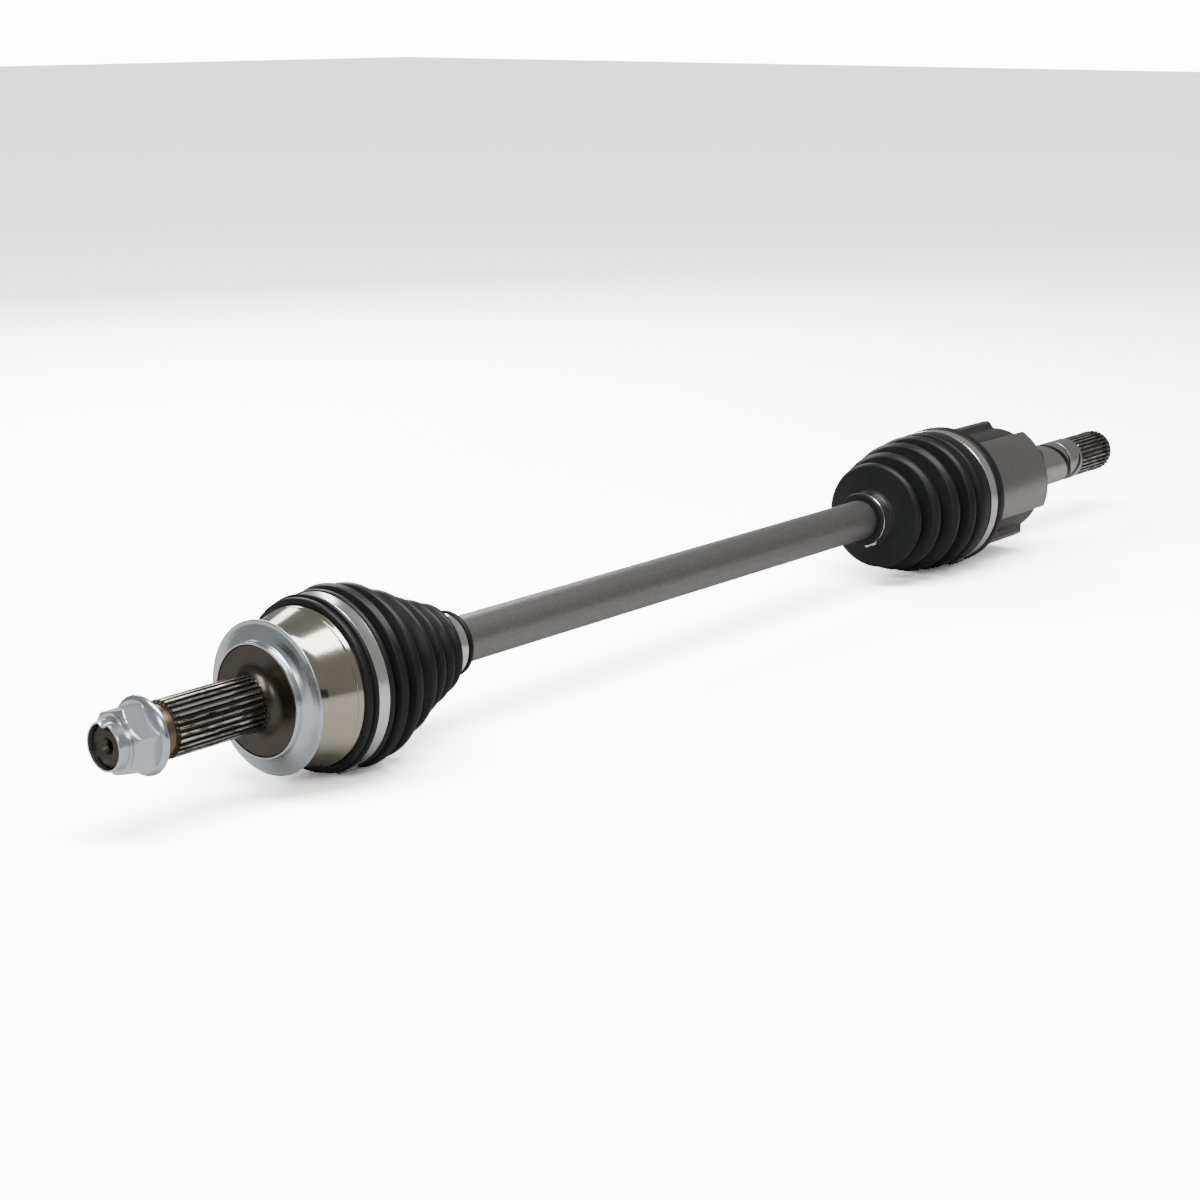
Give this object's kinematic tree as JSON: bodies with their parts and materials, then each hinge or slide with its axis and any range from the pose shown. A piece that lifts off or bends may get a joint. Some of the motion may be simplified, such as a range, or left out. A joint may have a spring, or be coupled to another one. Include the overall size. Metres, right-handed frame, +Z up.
{
  "type": "cv axle",
  "caption": "Front half shaft: splined hub stub with flanged nut, ball-type wheel joint, solid bar and plunging tripod gearbox joint with splined stub, both joints in clamped rubber boots.",
  "frame": {"origin": "on the axle axis, in the plane of the shoulder face that the wheel hub seats on", "axes": "+X along the axle from the wheel hub end to the gearbox end, +Z up, with the axle lying straight"},
  "size_m": [0.9531, 0.0946, 0.0951],
  "materials": {
    "zinc_plate": "bright zinc plate, pressed or rolled",
    "machined_steel": "turned, lightly oiled",
    "hardened_steel": "ground and polished",
    "race_steel": "hardened and ground",
    "black_oxide": "black oxide spring steel",
    "boot_rubber": "moulded, satin",
    "clamp_steel": "bright stainless band",
    "bar_steel": "phosphated, satin",
    "forged_steel": "forged, with turned lobes"
  },
  "bodies": {
    "shaft": {"axle_bar": "bar_steel", "inner_race": "race_steel", "race_clip": "black_oxide", "race_stop_ring": "black_oxide", "wheel_boot_small_clamp": "clamp_steel", "gearbox_boot_small_clamp": "clamp_steel", "spider": "race_steel", "spider_clip": "black_oxide", "spider_stop_ring": "black_oxide", "needles_1": "hardened_steel", "needles_2": "hardened_steel", "roller_ring_1": "black_oxide", "roller_ring_2": "black_oxide", "roller_ring_3": "black_oxide"},
    "top_ball": {"ball_1": "hardened_steel"},
    "cage": {"ball_cage": "race_steel", "ball_2": "hardened_steel", "ball_3": "hardened_steel", "ball_5": "hardened_steel", "ball_6": "hardened_steel", "wheel_boot": "boot_rubber"},
    "bottom_ball": {"ball_4": "hardened_steel"},
    "wheel_bell": {"outer_race": "machined_steel", "dust_ring": "zinc_plate", "axle_nut": "zinc_plate", "wheel_boot_big_clamp": "clamp_steel"},
    "pivot_needles": {"needles_3": "hardened_steel"},
    "gearbox_cuff": {"gearbox_boot": "boot_rubber"},
    "gearbox_housing": {"tripod_housing": "forged_steel", "boot_adapter": "boot_rubber", "gearbox_boot_big_clamp": "clamp_steel", "stub_clip": "black_oxide"},
    "roller_1": {"roller_1": "hardened_steel"},
    "roller_2": {"roller_2": "hardened_steel"},
    "roller_3": {"roller_3": "hardened_steel"}
  },
  "joints": [
    {"name": "wheel_pitch", "type": "hinge", "parent": "shaft", "child": "top_ball", "pos_m": [0.038, 0, 0], "axis": [0, 1, 0], "range_deg": [-5, 5]},
    {"name": "wheel_steer", "type": "hinge", "parent": "top_ball", "child": "cage", "pos_m": [0.038, 0, 0], "axis": [0, 0, 1], "range_deg": [-20, 20], "deforming": ["wheel_boot"]},
    {"name": "wheel_steer_bell", "type": "hinge", "parent": "cage", "child": "bottom_ball", "pos_m": [0.038, 0, 0], "axis": [0, 0, 1], "range_deg": [-20, 20]},
    {"name": "wheel_pitch_bell", "type": "hinge", "parent": "bottom_ball", "child": "wheel_bell", "pos_m": [0.038, 0, 0], "axis": [0, 1, 0], "range_deg": [-5, 5]},
    {"name": "gearbox_swing", "type": "hinge", "parent": "shaft", "child": "pivot_needles", "pos_m": [0.652, 0, 0], "axis": [0, -0.1564, 0.9877], "range_deg": [-12, 12]},
    {"name": "gearbox_tilt", "type": "hinge", "parent": "pivot_needles", "child": "gearbox_cuff", "pos_m": [0.652, 0, 0], "axis": [0, 0.9877, 0.1564], "range_deg": [-12, 12], "deforming": ["gearbox_boot"]},
    {"name": "gearbox_plunge", "type": "slide", "parent": "gearbox_cuff", "child": "gearbox_housing", "axis": [1, 0, 0], "range_m": [-0.02, 0.016]},
    {"name": "roller_1_spin", "type": "hinge", "parent": "shaft", "child": "roller_1", "pos_m": [0.652, 0, 0], "axis": [0, -0.9336, 0.3584], "range_deg": [-90, 90]},
    {"name": "roller_2_spin", "type": "hinge", "parent": "shaft", "child": "roller_2", "pos_m": [0.652, 0, 0], "axis": [0, 0.7771, 0.6293], "range_deg": [-90, 90]},
    {"name": "roller_3_spin", "type": "hinge", "parent": "shaft", "child": "roller_3", "pos_m": [0.652, 0, 0], "axis": [0, 0.1564, -0.9877], "range_deg": [-90, 90]}
  ],
  "couplings": [
    {"joint": "wheel_steer_bell", "follows": "wheel_steer", "ratio": 1},
    {"joint": "wheel_pitch_bell", "follows": "wheel_pitch", "ratio": 1},
    {"joint": "roller_1_spin", "follows": "gearbox_plunge", "rad_per_m": 76.923},
    {"joint": "roller_2_spin", "follows": "gearbox_plunge", "rad_per_m": 76.923},
    {"joint": "roller_3_spin", "follows": "gearbox_plunge", "rad_per_m": 76.923}
  ]
}
